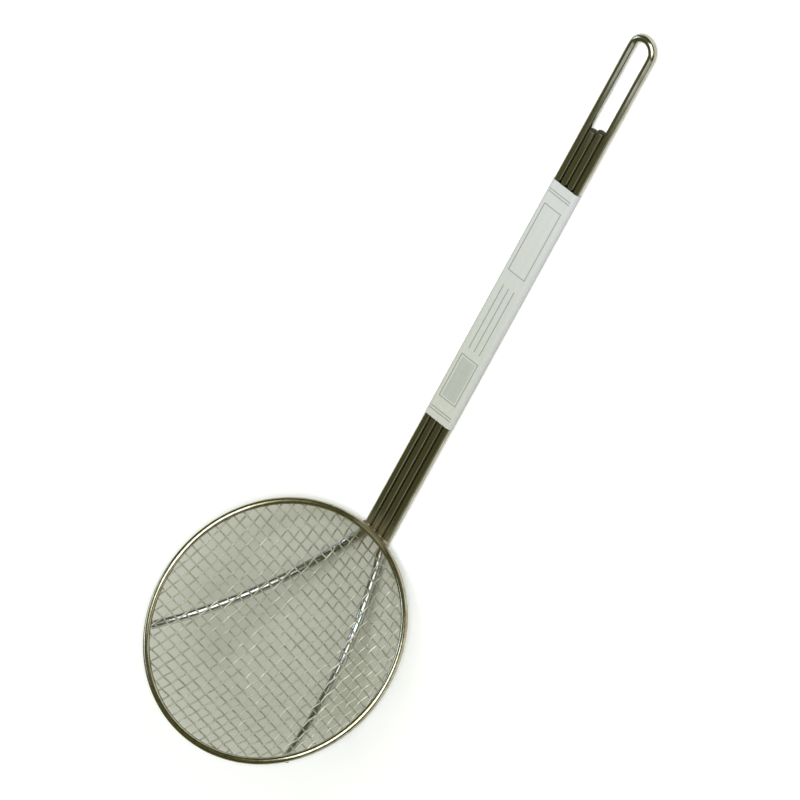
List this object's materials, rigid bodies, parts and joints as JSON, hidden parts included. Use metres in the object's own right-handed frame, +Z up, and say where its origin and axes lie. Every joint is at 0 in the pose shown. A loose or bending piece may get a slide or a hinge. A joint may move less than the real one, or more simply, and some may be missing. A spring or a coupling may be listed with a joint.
{
  "type": "skimmer",
  "caption": "Wire skimmer: shallow round dish of woven square mesh in a rolled rim, on a straight handle of side-by-side rods with a long hanging loop.",
  "frame": {"origin": "on the table under the middle of the whole skimmer as it lies on its handle", "axes": "+X along the handle towards the hanging loop, +Z up from the table; the dish tilts up at the -X end"},
  "size_m": [0.5544, 0.1778, 0.1029],
  "materials": {
    "rim": "bright nickel plate on rolled steel",
    "mesh_wire": "bright nickel plate on steel wire",
    "rod": "bright nickel plate on steel rod",
    "paper": "uncoated off-white paper"
  },
  "bodies": {
    "root": {"rim_binding": "rim", "warp_wire_01": "mesh_wire", "warp_wire_02": "mesh_wire", "warp_wire_03": "mesh_wire", "warp_wire_04": "mesh_wire", "warp_wire_05": "mesh_wire", "warp_wire_06": "mesh_wire", "warp_wire_07": "mesh_wire", "warp_wire_08": "mesh_wire", "warp_wire_09": "mesh_wire", "warp_wire_10": "mesh_wire", "warp_wire_11": "mesh_wire", "warp_wire_12": "mesh_wire", "warp_wire_13": "mesh_wire", "warp_wire_14": "mesh_wire", "warp_wire_15": "mesh_wire", "warp_wire_16": "mesh_wire", "warp_wire_17": "mesh_wire", "warp_wire_18": "mesh_wire", "warp_wire_19": "mesh_wire", "warp_wire_20": "mesh_wire", "warp_wire_21": "mesh_wire", "warp_wire_22": "mesh_wire", "warp_wire_23": "mesh_wire", "warp_wire_24": "mesh_wire", "warp_wire_25": "mesh_wire", "warp_wire_26": "mesh_wire", "warp_wire_27": "mesh_wire", "weft_wire_01": "mesh_wire", "weft_wire_02": "mesh_wire", "weft_wire_03": "mesh_wire", "weft_wire_04": "mesh_wire", "weft_wire_05": "mesh_wire", "weft_wire_06": "mesh_wire", "weft_wire_07": "mesh_wire", "weft_wire_08": "mesh_wire", "weft_wire_09": "mesh_wire", "weft_wire_10": "mesh_wire", "weft_wire_11": "mesh_wire", "weft_wire_12": "mesh_wire", "weft_wire_13": "mesh_wire", "weft_wire_14": "mesh_wire", "weft_wire_15": "mesh_wire", "weft_wire_16": "mesh_wire", "weft_wire_17": "mesh_wire", "weft_wire_18": "mesh_wire", "weft_wire_19": "mesh_wire", "weft_wire_20": "mesh_wire", "weft_wire_21": "mesh_wire", "weft_wire_22": "mesh_wire", "weft_wire_23": "mesh_wire", "weft_wire_24": "mesh_wire", "weft_wire_25": "mesh_wire", "weft_wire_26": "mesh_wire", "hairpin_loop": "rod", "hairpin_left": "rod", "hairpin_right": "rod", "inner_rod_left": "rod", "inner_rod_right": "rod", "paper_sleeve": "paper"}
  },
  "joints": []
}
